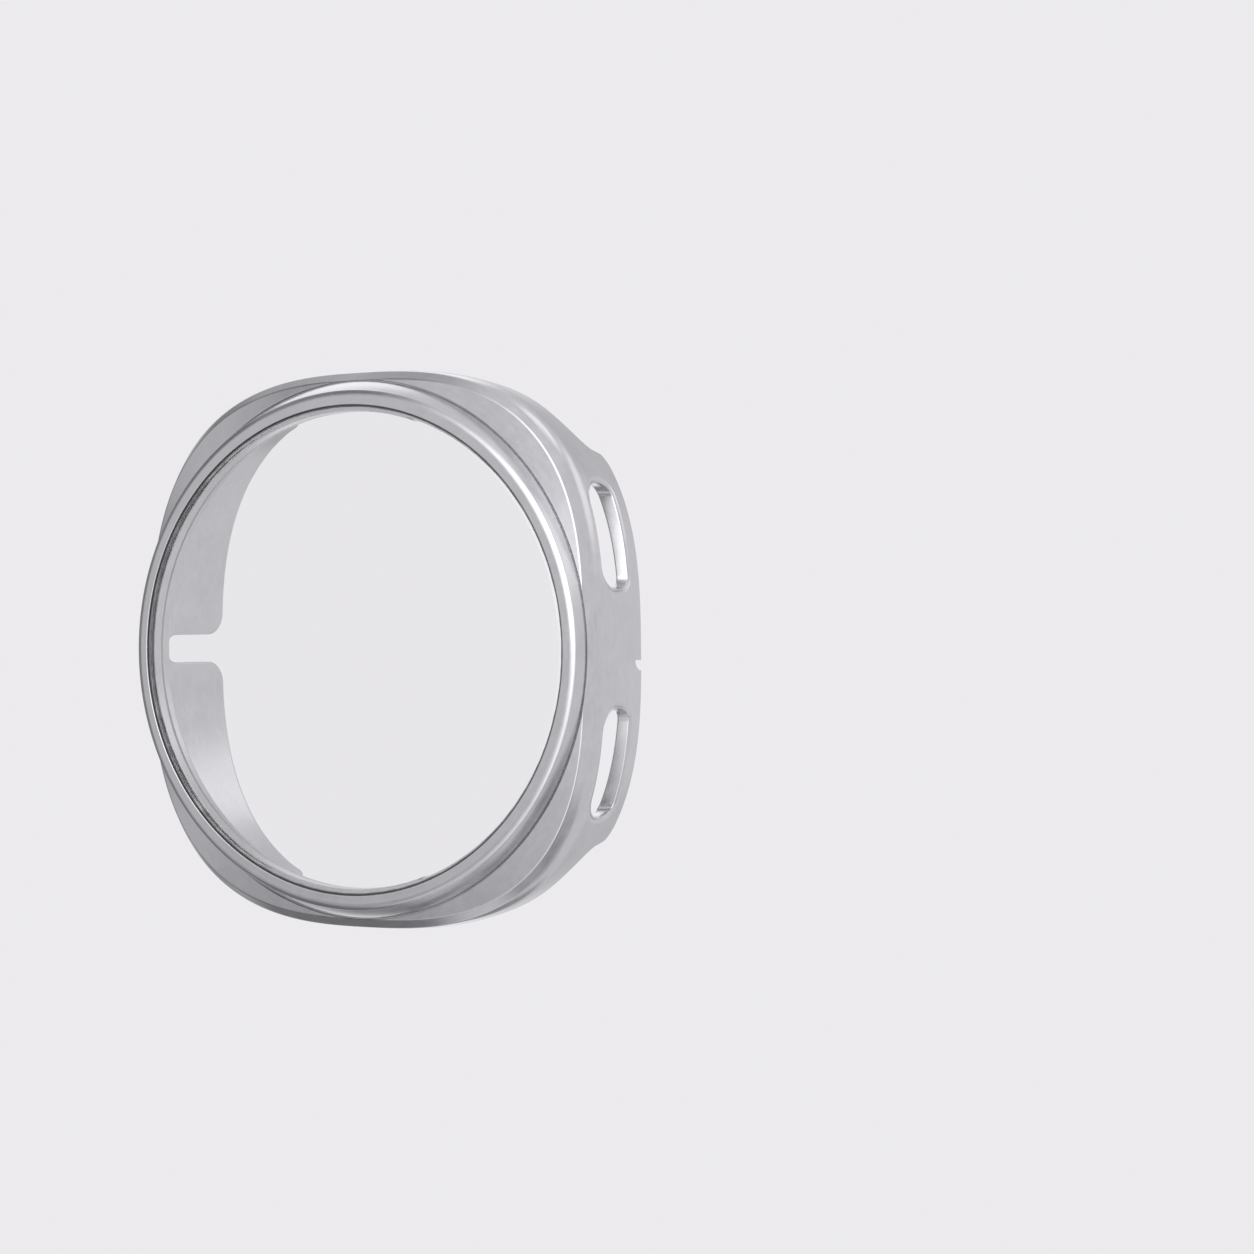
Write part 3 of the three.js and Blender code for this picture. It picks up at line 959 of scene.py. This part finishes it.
class RingSweep:
    """Geometry Nodes tree that sweeps a section round the dial axis.

    The section is the object's own mesh: one vertex for each point, with the radius in X and the depth in Y,
    and the shares stretch and loose as attributes.
    """

    NAME = "ring_sweep"
    INPUTS = (
        ("Section", "Geometry"),
        ("Stations", "Int"),
        ("Closed", "Int"),
        ("Foot Half Width", "Float"),
        ("Foot Half Height", "Float"),
        ("Unevenness", "Float"),
        ("Unevenness Scale", "Float"),
        ("Seed", "Float"),
        ("Finish", "Material"),
    )
    WELD = 1e-7

    def __init__(self) -> None:
        """Builds the tree with its named inputs."""
        self.wiring = Wiring(bpy.data.node_groups.new(self.NAME, "GeometryNodeTree"))
        sockets = self.wiring.tree.interface
        self.inputs = {
            name: sockets.new_socket(name=name, in_out="INPUT", socket_type="NodeSocket" + kind).identifier
            for name, kind in self.INPUTS
        }
        sockets.new_socket(name="Ring", in_out="OUTPUT", socket_type="NodeSocketGeometry")
        self.given = self.wiring.node("NodeGroupInput").outputs
        self._wire()

    def _sampled(self, kind: str, value: Socket, index: Socket) -> Socket:
        """Reads a value of the section at a point's index."""
        given = {"Geometry": self.given["Section"], "Value": value, "Index": index}
        return self.wiring.node("GeometryNodeSampleIndex", given, data_type=kind, domain="POINT").outputs[0]

    def _share(self, name: str, index: Socket) -> Socket:
        """Reads one of the section's shares at a point's index."""
        node = self.wiring.node("GeometryNodeInputNamedAttribute", {"Name": name}, data_type="FLOAT")
        return self._sampled("FLOAT", node.outputs["Attribute"], index)

    def _wire(self) -> None:
        """Wires the tree: a grid whose rows are the section's points and whose columns are the stations."""
        given = self.given
        node = self.wiring.node
        calc = self.wiring.math
        size = node("GeometryNodeAttributeDomainSize", {"Geometry": given["Section"]})
        points = size.outputs["Point Count"]
        rows = calc("ADD", points, given["Closed"])
        stations = calc("ADD", given["Stations"], 1.0)
        grid = node("GeometryNodeMeshGrid", {"Vertices X": stations, "Vertices Y": rows}).outputs["Mesh"]
        index = node("GeometryNodeInputIndex").outputs[0]
        column = calc("FLOOR", calc("DIVIDE", calc("ADD", index, 0.5), rows))
        row = calc("SUBTRACT", index, calc("MULTIPLY", column, rows))
        past_end = calc("GREATER_THAN", row, calc("SUBTRACT", points, 0.5))
        point = calc("SUBTRACT", row, calc("MULTIPLY", points, past_end))
        position = node("GeometryNodeInputPosition").outputs[0]
        place = node("ShaderNodeSeparateXYZ", {0: self._sampled("FLOAT_VECTOR", position, point)}).outputs
        angle = calc("MULTIPLY", calc("DIVIDE", column, given["Stations"]), 2 * math.pi)
        cosine = calc("COSINE", angle)
        sine = calc("SINE", angle)
        across = calc("POWER", calc("DIVIDE", cosine, given["Foot Half Width"]), 2.0)
        along = calc("POWER", calc("DIVIDE", sine, given["Foot Half Height"]), 2.0)
        foot = calc("DIVIDE", 1.0, calc("SQRT", calc("ADD", across, along)))
        spread = calc("SUBTRACT", foot, given["Foot Half Width"])
        noise = self.wiring.noise(self.wiring.vector(cosine, sine, given["Seed"]), given["Unevenness Scale"])
        ripple = calc("MULTIPLY", calc("SUBTRACT", noise, 0.5), given["Unevenness"])
        radius = calc("ADD", place["X"], calc("MULTIPLY", self._share("stretch", point), spread))
        radius = calc("ADD", radius, calc("MULTIPLY", self._share("loose", point), ripple))
        side = calc("MULTIPLY", radius, cosine)
        up = calc("MULTIPLY", radius, sine)
        placed = self.wiring.vector(side, place["Y"], up)
        moved = node("GeometryNodeSetPosition", {0: grid, "Position": placed})
        merged = node("GeometryNodeMergeByDistance", {0: moved.outputs[0], "Distance": self.WELD})
        smooth = node("GeometryNodeSetShadeSmooth", {0: merged.outputs[0]})
        dressed = node("GeometryNodeSetMaterial", {0: smooth.outputs[0], "Material": given["Finish"]})
        node("NodeGroupOutput", {0: dressed.outputs[0]})

    def sweep(self, name: str, section: RingSection, finish: bpy.types.Material) -> bpy.types.Object:
        """Sweeps a section into a plain mesh object.

        Args:
            name: The new object's name.
            section: The section and its sizes.
            finish: The material.

        Returns:
            The object, with the modifier's result as its mesh.
        """
        base = bpy.data.meshes.new(name)
        seat = FrameShell.seat_depth
        places = [(radius * MM, (depth - seat) * MM, 0.0) for radius, depth in section.points]
        base.from_pydata(places, [], [])
        for label, given in (("stretch", section.stretch), ("loose", section.loose)):
            values = np.array(given or [0.0] * len(section.points), np.float32)
            base.attributes.new(label, "FLOAT", "POINT").data.foreach_set("value", values)
        made = link(name, base)
        modifier = made.modifiers.new("sweep", "NODES")
        modifier.node_group = self.wiring.tree
        values = {
            "Stations": section.stations,
            "Closed": int(section.closed),
            "Foot Half Width": section.foot.half_width * MM,
            "Foot Half Height": section.foot.half_height * MM,
            "Unevenness": section.unevenness * MM,
            "Unevenness Scale": section.unevenness_scale,
            "Seed": section.seed,
            "Finish": finish,
        }
        for label, value in values.items():
            modifier[self.inputs[label]] = value
        evaluated = made.evaluated_get(bpy.context.evaluated_depsgraph_get())
        plain = bpy.data.meshes.new_from_object(evaluated)
        made.modifiers.remove(modifier)
        made.data = plain
        bpy.data.meshes.remove(base)
        finish_mesh(made)
        return made


@dataclass
class BezelRing:
    """The raised ring round the lens."""

    foot: Cushion = Cushion(22.47, 23.39)
    rim_radius: float = 21.2
    band_end: float = 21.8
    band_tilt: float = 6.0
    soft_radius: float = 0.9
    soft_end: float = 43.0
    soft_share: float = 0.14
    soft_power: int = 5
    soft_steps: int = 16
    quick_radius: float = 0.12
    quick_end: float = 84.0
    quick_share: float = 0.04
    quick_steps: int = 8
    flank_bulge: float = 0.45
    flank_steps: int = 14
    ring_depth: float = 1.9
    flange_radius: float = 20.7
    ledge_depth: float = 0.72
    groove_inner: float = 21.45
    groove_outer: float = 22.05
    groove_depth: float = 0.55
    rim_round: float = 0.12
    ledge_round: float = 0.02
    edge_round: float = 0.04

    def turn(self, start: Points, radius: float, from_tilt: float, to_tilt: float, steps: int) -> Points:
        """Points of a round that turns the surface from one tilt to another.

        Args:
            start: Where the round begins.
            radius: The round's radius.
            from_tilt: The surface's tilt at its start, in degrees from facing the front.
            to_tilt: The tilt at its end.
            steps: Pieces in the round.

        Returns:
            The points after the start.
        """
        first = math.radians(from_tilt)
        tilts = np.radians(from_tilt + (to_tilt - from_tilt) * shares(steps))
        across = radius * (np.sin(tilts) - math.sin(first))
        back = radius * (math.cos(first) - np.cos(tilts))
        return start + columns(across, back)

    def section(self) -> RingSection:
        """The ring's section at 3 o'clock, with each point's share of the foot's spread elsewhere."""
        fall = math.tan(math.radians(self.band_tilt))
        band_end = (self.band_end, (self.band_end - self.rim_radius) * fall)
        lead = [
            (self.flange_radius, self.ring_depth),
            (self.flange_radius, self.ledge_depth),
            (self.rim_radius, self.ledge_depth),
            (self.rim_radius, 0.0),
            band_end,
        ]
        front = rounded_outline(lead, [0, self.edge_round, self.ledge_round, self.rim_round, 0], steps=5)
        soft = self.turn(np.array(band_end), self.soft_radius, self.band_tilt, self.soft_end, self.soft_steps)
        quick = self.turn(soft[-1], self.quick_radius, self.soft_end, self.quick_end, self.quick_steps)
        way = shares(self.flank_steps)
        flank = quick[-1] + (np.array([self.foot.half_width, self.ring_depth]) - quick[-1]) * way[:, None]
        groove_floor = self.ring_depth - self.groove_depth
        ends = [
            (self.groove_outer, self.ring_depth),
            (self.groove_outer, groove_floor),
            (self.groove_inner, groove_floor),
            (self.groove_inner, self.ring_depth),
            (self.flange_radius + self.edge_round, self.ring_depth),
        ]
        flank_start = self.soft_share + self.quick_share
        stretch = [
            *[0.0] * len(front),
            *self.soft_share * (1.0 - (1.0 - shares(self.soft_steps)) ** self.soft_power),
            *self.soft_share + self.quick_share * shares(self.quick_steps),
            *flank_start + (1 - flank_start) * (way + self.flank_bulge * way * (1 - way)),
            *[0.0] * len(ends),
        ]
        return RingSection([*front, *soft, *quick, *flank, *ends], self.foot, stretch)


@dataclass
class Lens:
    """The clear round lens with its bevelled edge."""

    radius: float = 21.12
    thickness: float = 0.5
    inset: float = 0.12
    bevel_width: float = 0.3
    bevel_depth: float = 0.16
    bevel_round: float = 0.06
    edge_round: float = 0.04
    back_chamfer: float = 0.08
    back_round: float = 0.02

    def section(self) -> RingSection:
        """Half of the lens, from the middle of its front to the middle of its back."""
        front = self.inset
        back = self.inset + self.thickness
        corners = [
            (0.0, front),
            (self.radius - self.bevel_width, front),
            (self.radius, front + self.bevel_depth),
            (self.radius, back - self.back_chamfer),
            (self.radius - self.back_chamfer, back),
            (0.0, back),
        ]
        rounds = [0, self.bevel_round, self.edge_round, self.back_round, self.back_round, 0]
        points = rounded_outline(corners, rounds, steps=4)
        return RingSection(points, Cushion(self.radius, self.radius), closed=False, stations=480)


@dataclass
class LensBond:
    """The adhesive round the lens: a film behind its edge, and a bead in the gap between it and the rim."""

    film_inner: float = 21.05
    lens_radius: float = 21.12
    rim_radius: float = 21.195
    bead_tip: float = 21.03
    bead_front: float = 0.185
    bead_back: float = 0.215
    bead_rim: float = 0.28
    tip_step: float = 0.01
    lens_corner: float = 0.29
    clearance: float = 0.008
    lens_back: float = 0.62
    back: float = 0.715
    unevenness: float = 0.16
    unevenness_scale: float = 14.0
    seed: float = 4.7

    def section(self) -> RingSection:
        """The film and the bead in one section. The bead's inner tip is uneven."""
        gap = self.lens_radius + self.clearance
        film_front = self.lens_back + self.clearance
        step = self.tip_step
        rows = [
            (self.film_inner, self.back, 0.5),
            (self.film_inner - step, film_front, 0.5),
            (gap, film_front, 0.0),
            (gap, self.lens_corner, 0.0),
            (self.bead_tip, self.bead_back, 1.0),
            (self.bead_tip + step, self.bead_front + 2 * step, 1.0),
            (self.bead_tip + 5 * step, self.bead_front, 0.5),
            (self.rim_radius, self.bead_rim, 0.0),
            (self.rim_radius, self.back, 0.0),
        ]
        return RingSection(
            [row[:2] for row in rows],
            Cushion(self.rim_radius, self.rim_radius),
            loose=[row[2] for row in rows],
            unevenness=self.unevenness,
            unevenness_scale=self.unevenness_scale,
            seed=self.seed,
        )


# Finishes


class Shader(Wiring):
    """A material with a Principled shader, and patterns in the object's own place."""

    def __init__(self, name: str) -> None:
        """Makes the material."""
        self.material = bpy.data.materials.new(name)
        self.material.use_nodes = True
        super().__init__(self.material.node_tree)
        self.surface = self.node("ShaderNodeBsdfPrincipled")
        self.output = self.node("ShaderNodeOutputMaterial", {"Surface": self.surface.outputs[0]})
        self.place = self.node("ShaderNodeTexCoord").outputs["Object"]

    def parts(self) -> Sequence[Socket]:
        """The object's own place in its three parts."""
        return self.node("ShaderNodeSeparateXYZ", {0: self.place}).outputs

    def dress(self, given: dict[str, object]) -> bpy.types.Material:
        """Fills or joins the surface's sockets and returns the material."""
        for name, value in given.items():
            self.put(self.surface.inputs[name], value)
        return self.material

    def vary(self, noise: Socket, span: Pair, middle: float, reach: float) -> Socket:
        """Spreads noise evenly about a middle value."""
        return self.remap(noise, span, (middle - reach, middle + reach))

    def mixed(self, first: Socket, second: Socket, share: float) -> Socket:
        """Mixes two values, with the given share of the first."""
        parts = [self.math("MULTIPLY", first, share), self.math("MULTIPLY", second, 1.0 - share)]
        return self.math("ADD", *parts)

    def shaded(self, color: Color | Socket, shade: Socket) -> Socket:
        """Makes a colour lighter or darker."""
        return self.node("ShaderNodeVectorMath", {0: color, "Scale": shade}, operation="SCALE").outputs[0]

    def bump(self, height: Socket, distance: float) -> Socket:
        """A normal for a height pattern, with its depth in metres."""
        given = {"Height": height, "Distance": distance, "Strength": 1.0}
        return self.node("ShaderNodeBump", given).outputs[0]


@dataclass(frozen=True)
class SatinPlating:
    """Satin silver plating on moulded plastic: soft mottling and a fine grain that runs round the dial."""

    name: str
    color: Color
    roughness: float = 0.25
    mottle_depth: float = 0.05
    mottle_roughness: float = 0.02
    mottle_scale: float = 420.0
    grain_along: float = 26.0
    grain_across: float = 2600.0
    grain_depth: float = 0.03
    grain_roughness: float = 0.015
    bump_height: float = 0.0000008

    def build(self) -> bpy.types.Material:
        """Makes the material."""
        shader = Shader(self.name)
        grain = self._grain(shader)
        mottle = shader.noise(shader.place, self.mottle_scale, 4.0, 0.55)
        cloud = shader.noise(shader.place, self.mottle_scale / 4)
        both = shader.mixed(mottle, cloud, 0.6)
        tone = shader.vary(both, NOISE_SPAN, 1.0, self.mottle_depth)
        streak = shader.vary(grain, NOISE_SPAN, 1.0, self.grain_depth)
        dull = shader.vary(both, NOISE_SPAN, self.roughness, self.mottle_roughness)
        dull_streak = shader.vary(grain, NOISE_SPAN, 0.0, self.grain_roughness)
        return shader.dress({
            "Base Color": shader.shaded(self.color, shader.math("MULTIPLY", tone, streak)),
            "Roughness": shader.math("ADD", dull, dull_streak),
            "Normal": shader.bump(shader.mixed(grain, mottle, 0.6), self.bump_height),
            "Metallic": 1.0,
        })

    def _grain(self, shader: Shader) -> Socket:
        """Noise that is long along the ring and fine across it."""
        across, back, along = shader.parts()
        flat = (across, along)
        squares = [shader.math("MULTIPLY", part, part) for part in flat]
        radius = shader.math("SQRT", shader.math("ADD", *squares))
        units = [shader.math("DIVIDE", part, radius) for part in flat]
        side, up = (shader.math("MULTIPLY", part, self.grain_along) for part in units)
        out, in_depth = (shader.math("MULTIPLY", part, self.grain_across) for part in (radius, back))
        given = {"Vector": shader.vector(side, up, out), "W": in_depth, "Scale": 1.0, "Detail": 3.0}
        return shader.node("ShaderNodeTexNoise", given, noise_dimensions="4D").outputs[0]


@dataclass(frozen=True)
class ClearGlass:
    """Clear tempered glass with the faintest haze."""

    name: str
    color: Color
    refraction: float = 1.46
    haze_scale: float = 160.0
    haze_roughness: float = 0.02

    def build(self) -> bpy.types.Material:
        """Makes the material."""
        shader = Shader(self.name)
        haze = shader.noise(shader.place, self.haze_scale, 3.0)
        return shader.dress({
            "Roughness": shader.remap(haze, FINE_SPAN, (0.0, self.haze_roughness)),
            "Base Color": (*self.color, 1.0),
            "Transmission Weight": 1.0,
            "IOR": self.refraction,
        })


@dataclass(frozen=True)
class Adhesive:
    """Cured adhesive, paler in its depth; its dark front face in the gap beside the lens is partly painted
    shade for that gap.
    """

    name: str
    front_and_gap_shade_color: Color
    film_color: Color
    front_depth: float = 0.3
    front_spread: float = 0.02
    wander: float = 0.02
    wander_scale: float = 260.0
    roughness: float = 0.4
    cloud_scale: float = 900.0
    cloud_depth: float = 0.08
    bump_height: float = 0.000002

    def build(self) -> bpy.types.Material:
        """Makes the material."""
        shader = Shader(self.name)
        cloud = shader.noise(shader.place, self.cloud_scale, 3.0)
        wander = shader.noise(shader.place, self.wander_scale)
        shift = shader.math("MULTIPLY", shader.math("SUBTRACT", wander, 0.5), self.wander * MM)
        middle = self.front_depth - FrameShell.seat_depth
        span = ((middle - self.front_spread) * MM, (middle + self.front_spread) * MM)
        # Painted shade: the dark front colour also stands in for the shadow down in the gap beside the lens
        front = shader.remap(shader.math("ADD", shader.parts()[1], shift), span, (1.0, 0.0))
        colors = {0: front, 6: (*self.film_color, 1.0), 7: (*self.front_and_gap_shade_color, 1.0)}
        blend = shader.node("ShaderNodeMix", colors, data_type="RGBA").outputs[2]
        return shader.dress({
            "Base Color": shader.shaded(blend, shader.vary(cloud, FINE_SPAN, 1.0, self.cloud_depth)),
            "Roughness": shader.vary(cloud, FINE_SPAN, self.roughness, self.cloud_depth),
            "Normal": shader.bump(cloud, self.bump_height),
        })


# Studio


@dataclass(frozen=True)
class SoftCard:
    """A soft round patch of light or shade in the surroundings.

    The bearing is counted from the front towards 3 o'clock and the height from the horizon, in degrees. The
    level is added to the plain surroundings. It is full inside the core angle and gone past the edge angle.
    """

    bearing: float
    height: float
    core: float
    edge: float
    level: float

    def direction(self) -> tuple[float, float, float]:
        """Unit vector towards the card's middle."""
        bearing = math.radians(self.bearing)
        height = math.radians(self.height)
        flat = math.cos(height)
        return (flat * math.sin(bearing), -flat * math.cos(bearing), math.sin(height))

    def light(self, wiring: Wiring, direction: Socket) -> Socket:
        """What the card adds in each direction."""
        given = {0: direction, 1: self.direction()}
        towards = wiring.node("ShaderNodeVectorMath", given, operation="DOT_PRODUCT").outputs["Value"]
        span = (math.cos(math.radians(self.edge)), math.cos(math.radians(self.core)))
        return wiring.remap(towards, span, (0.0, self.level), "SMOOTHSTEP")


# Soft lamps in front and at the sides
LIGHT_CARDS = (
    SoftCard(31.0, 26.0, 33.0, 43.0, 0.82),
    SoftCard(39.0, -20.0, 10.0, 24.0, 0.8),
    SoftCard(33.0, -48.0, 8.0, 22.0, 0.4),
    SoftCard(112.0, 63.0, 7.0, 17.0, 0.9),
    SoftCard(135.0, 27.0, 8.0, 20.0, 0.6),
    SoftCard(-135.0, 41.0, 12.0, 25.0, 0.75),
    SoftCard(-146.0, -33.0, 6.0, 14.0, 0.5),
)

# Dark flags that give the metal its lines
SHADE_CARDS = (
    SoftCard(74.0, 62.0, 6.0, 16.0, -0.3),
    SoftCard(-30.0, 5.0, 20.0, 40.0, -0.1),
    SoftCard(-16.0, -28.0, 6.0, 16.0, -0.25),
    SoftCard(-44.0, -30.0, 8.0, 22.0, -0.36),
    SoftCard(-72.0, -46.0, 10.0, 26.0, -0.7),
    SoftCard(-100.0, -62.0, 14.0, 30.0, -0.6),
    SoftCard(-60.0, 42.0, 16.0, 28.0, -0.55),
    SoftCard(-66.0, 60.0, 10.0, 24.0, -0.3),
    SoftCard(-92.0, 2.0, 26.0, 40.0, -0.65),
    SoftCard(-108.0, 34.0, 8.0, 18.0, -0.4),
    SoftCard(-114.0, -24.0, 8.0, 20.0, -0.35),
    SoftCard(-168.0, -60.0, 10.0, 22.0, -0.6),
    SoftCard(62.0, -64.0, 10.0, 22.0, -0.5),
    SoftCard(74.0, -40.0, 8.0, 20.0, -0.5),
    SoftCard(-40.0, -84.0, 8.0, 20.0, -0.45),
    SoftCard(180.0, 26.0, 8.0, 24.0, -0.2),
    SoftCard(180.0, -24.0, 8.0, 20.0, -0.2),
)


@dataclass
class Studio:
    """Camera, floor, world and lamp. Places and sizes are in millimetres and the lamp's power is in watts."""

    plain_level: float = 1.0
    least_level: float = 0.25
    azimuth: float = 26.486
    elevation: float = 0.09
    roll: float = 0.51
    place: tuple[float, float, float] = (118.188, -186.038, 2.126)
    focal_length: float = 71.77
    sensor_width: float = 36.0
    backdrop: Color = (0.84, 0.825, 0.85)
    floor_color: Color = (0.95, 0.94, 0.96)
    floor_height: float = -125.0
    floor_radius: float = 30.0
    floor_glow: float = 0.5
    key_place: tuple[float, float, float] = (160.0, -260.0, 140.0)
    key_size: float = 260.0
    key_power: float = 0.25

    def camera(self) -> None:
        """The photograph's view."""
        data = bpy.data.cameras.new("camera")
        data.lens = self.focal_length
        data.sensor_width = self.sensor_width
        data.clip_start = 0.005
        data.clip_end = 50.0
        made = link("camera", data)
        turn = Matrix.Rotation(math.radians(self.azimuth), 4, "Z")
        tilt = Matrix.Rotation(math.radians(90.0 - self.elevation), 4, "X")
        roll = Matrix.Rotation(math.radians(-self.roll), 4, "Z")
        made.matrix_world = Matrix.Translation(Vector(self.place) * MM) @ turn @ tilt @ roll
        bpy.context.scene.camera = made

    def floor(self) -> None:
        """A small pale floor far under the floating cover, which fades into the backdrop at its edge."""
        mesh = bpy.data.meshes.new("floor")
        disc = bmesh.new()
        bmesh.ops.create_circle(disc, cap_ends=True, segments=96, radius=self.floor_radius * MM)
        disc.transform(Matrix.Translation((0.0, 0.0, self.floor_height * MM)))
        disc.to_mesh(mesh)
        disc.free()
        floor = link("floor", mesh)
        shader = Shader("floor")
        shader.dress({"Base Color": (*self.floor_color, 1.0), "Roughness": 0.9, "Specular IOR Level": 0.0})
        glow = shader.node("ShaderNodeEmission", {"Color": (*self.backdrop, 1.0), "Strength": 1.0})
        distance = shader.node("ShaderNodeVectorMath", {0: shader.place}, operation="LENGTH").outputs["Value"]
        span = tuple(math.hypot(self.floor_height, share * self.floor_radius) * MM for share in (0.5, 1.0))
        far = shader.remap(distance, span, (self.floor_glow, 1.0))
        blend = shader.node("ShaderNodeMixShader", {0: far, 1: shader.surface.outputs[0], 2: glow.outputs[0]})
        shader.put(shader.output.inputs["Surface"], blend.outputs[0])
        mesh.materials.append(shader.material)

    def world(self) -> None:
        """Soft studio surroundings, and the plain backdrop where the camera and the glass look past it."""
        world = bpy.data.worlds.new("studio")
        bpy.context.scene.world = world
        world.use_nodes = True
        wiring = Wiring(world.node_tree)
        direction = wiring.node("ShaderNodeTexCoord").outputs["Generated"]
        level: object = self.plain_level
        for card in (*LIGHT_CARDS, *SHADE_CARDS):
            level = wiring.math("ADD", level, card.light(wiring, direction))
        level = wiring.math("MAXIMUM", level, self.least_level)
        color = (*self.backdrop, 1.0)
        around = wiring.node("ShaderNodeBackground", {"Color": color, "Strength": level})
        behind = wiring.node("ShaderNodeBackground", {"Color": color})
        path = wiring.node("ShaderNodeLightPath").outputs
        past = wiring.math("MAXIMUM", path["Is Camera Ray"], path["Is Transmission Ray"])
        blend = wiring.node("ShaderNodeMixShader", {0: past, 1: around.outputs[0], 2: behind.outputs[0]})
        wiring.node("ShaderNodeOutputWorld", {"Surface": blend.outputs[0]})

    def key(self) -> None:
        """The area lamp, which faces the cover."""
        data = bpy.data.lights.new("key", "AREA")
        data.shape = "RECTANGLE"
        data.size = self.key_size * MM
        data.size_y = self.key_size * MM
        data.energy = self.key_power
        made = link("key", data)
        made.location = Vector(self.key_place) * MM
        made.rotation_euler = (-Vector(self.key_place)).to_track_quat("-Z", "Y").to_euler()

    def build(self) -> None:
        """Sets up everything around the cover."""
        self.camera()
        self.floor()
        self.world()
        self.key()
        bpy.context.scene.view_settings.view_transform = "Standard"


# The cover

SILVER = (0.58, 0.585, 0.60)
CLEAR = (0.955, 0.957, 0.955)
# Dark adhesive colour, partly painted shade for the gap beside the lens
DARK_ADHESIVE_AND_GAP_SHADE = (0.12, 0.12, 0.125)
PALE_ADHESIVE = (0.85, 0.85, 0.85)


def dress(piece: bpy.types.Object, finish: bpy.types.Material) -> None:
    """Gives a piece its only material."""
    piece.data.materials.clear()
    piece.data.materials.append(finish)


def mount(piece: bpy.types.Object, slot: Slot, *nodes: str) -> None:
    """Puts a piece on the cover's body and lets it stand for its nodes."""
    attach(piece, "root")
    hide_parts(*nodes)
    LOG.info("%s stands for %s", piece.name, ", ".join(nodes))


def main() -> None:
    """Builds the cover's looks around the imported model."""
    logging.basicConfig(level=logging.INFO, format="%(message)s")
    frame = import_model()
    Studio().build()
    plating = SatinPlating("satin_plating", SILVER).build()
    ring_plating = SatinPlating("satin_plating_ring", SILVER).build()
    glass = ClearGlass("clear_glass", CLEAR).build()
    adhesive = Adhesive("adhesive", DARK_ADHESIVE_AND_GAP_SHADE, PALE_ADHESIVE).build()
    shell = FrameShell().build()
    shell.data.transform(Matrix.Translation((0.0, -FrameShell.seat_depth * MM, 0.0)))
    dress(shell, plating)
    mount(shell, Slot.FRAME, "frame_shell")
    sweep = RingSweep()
    mount(sweep.sweep("bezel", BezelRing().section(), ring_plating), Slot.BEZEL, "bezel_ring")
    mount(sweep.sweep("glass_lens", Lens().section(), glass), Slot.LENS, "lens")
    mount(sweep.sweep("lens_adhesive", LensBond().section(), adhesive), Slot.ADHESIVE, "lens_bond")
    ring_bond = frame["nodes"]["ring_bond"]
    dress(ring_bond, adhesive)


if __name__ == "__main__":
    main()
